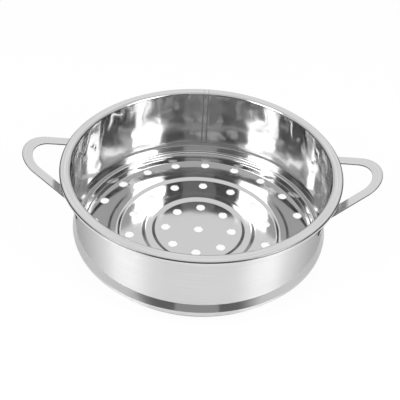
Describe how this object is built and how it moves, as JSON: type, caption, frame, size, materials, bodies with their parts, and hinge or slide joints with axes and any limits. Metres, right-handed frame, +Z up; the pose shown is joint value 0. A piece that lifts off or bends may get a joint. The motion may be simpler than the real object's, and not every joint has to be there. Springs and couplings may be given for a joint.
{
  "type": "steamer insert",
  "caption": "Round stainless steel steamer insert with a flat rim, stop bead, spigot foot, pressed perforated base and fixed strap handles; stands in the mouth of a pot.",
  "frame": {"origin": "centre of the flat ring that the basket rests on, at the bottom of its foot", "axes": "+Z up through the open mouth, +X towards the right handle, -Y towards the front"},
  "size_m": [0.3316, 0.26, 0.0885],
  "materials": {
    "satin_steel": "stainless steel, satin outside and on the rim, polished inside",
    "polished_steel": "stainless steel, mirror polished",
    "weld_steel": "spot weld mark, dull"
  },
  "bodies": {
    "root": {"side_wall": "satin_steel", "perforated_base": "polished_steel", "right_handle": "satin_steel", "left_handle": "satin_steel", "right_weld_back_upper": "weld_steel", "right_weld_back_lower": "weld_steel", "right_weld_front_upper": "weld_steel", "right_weld_front_lower": "weld_steel", "left_weld_back_upper": "weld_steel", "left_weld_back_lower": "weld_steel", "left_weld_front_upper": "weld_steel", "left_weld_front_lower": "weld_steel"}
  },
  "joints": []
}
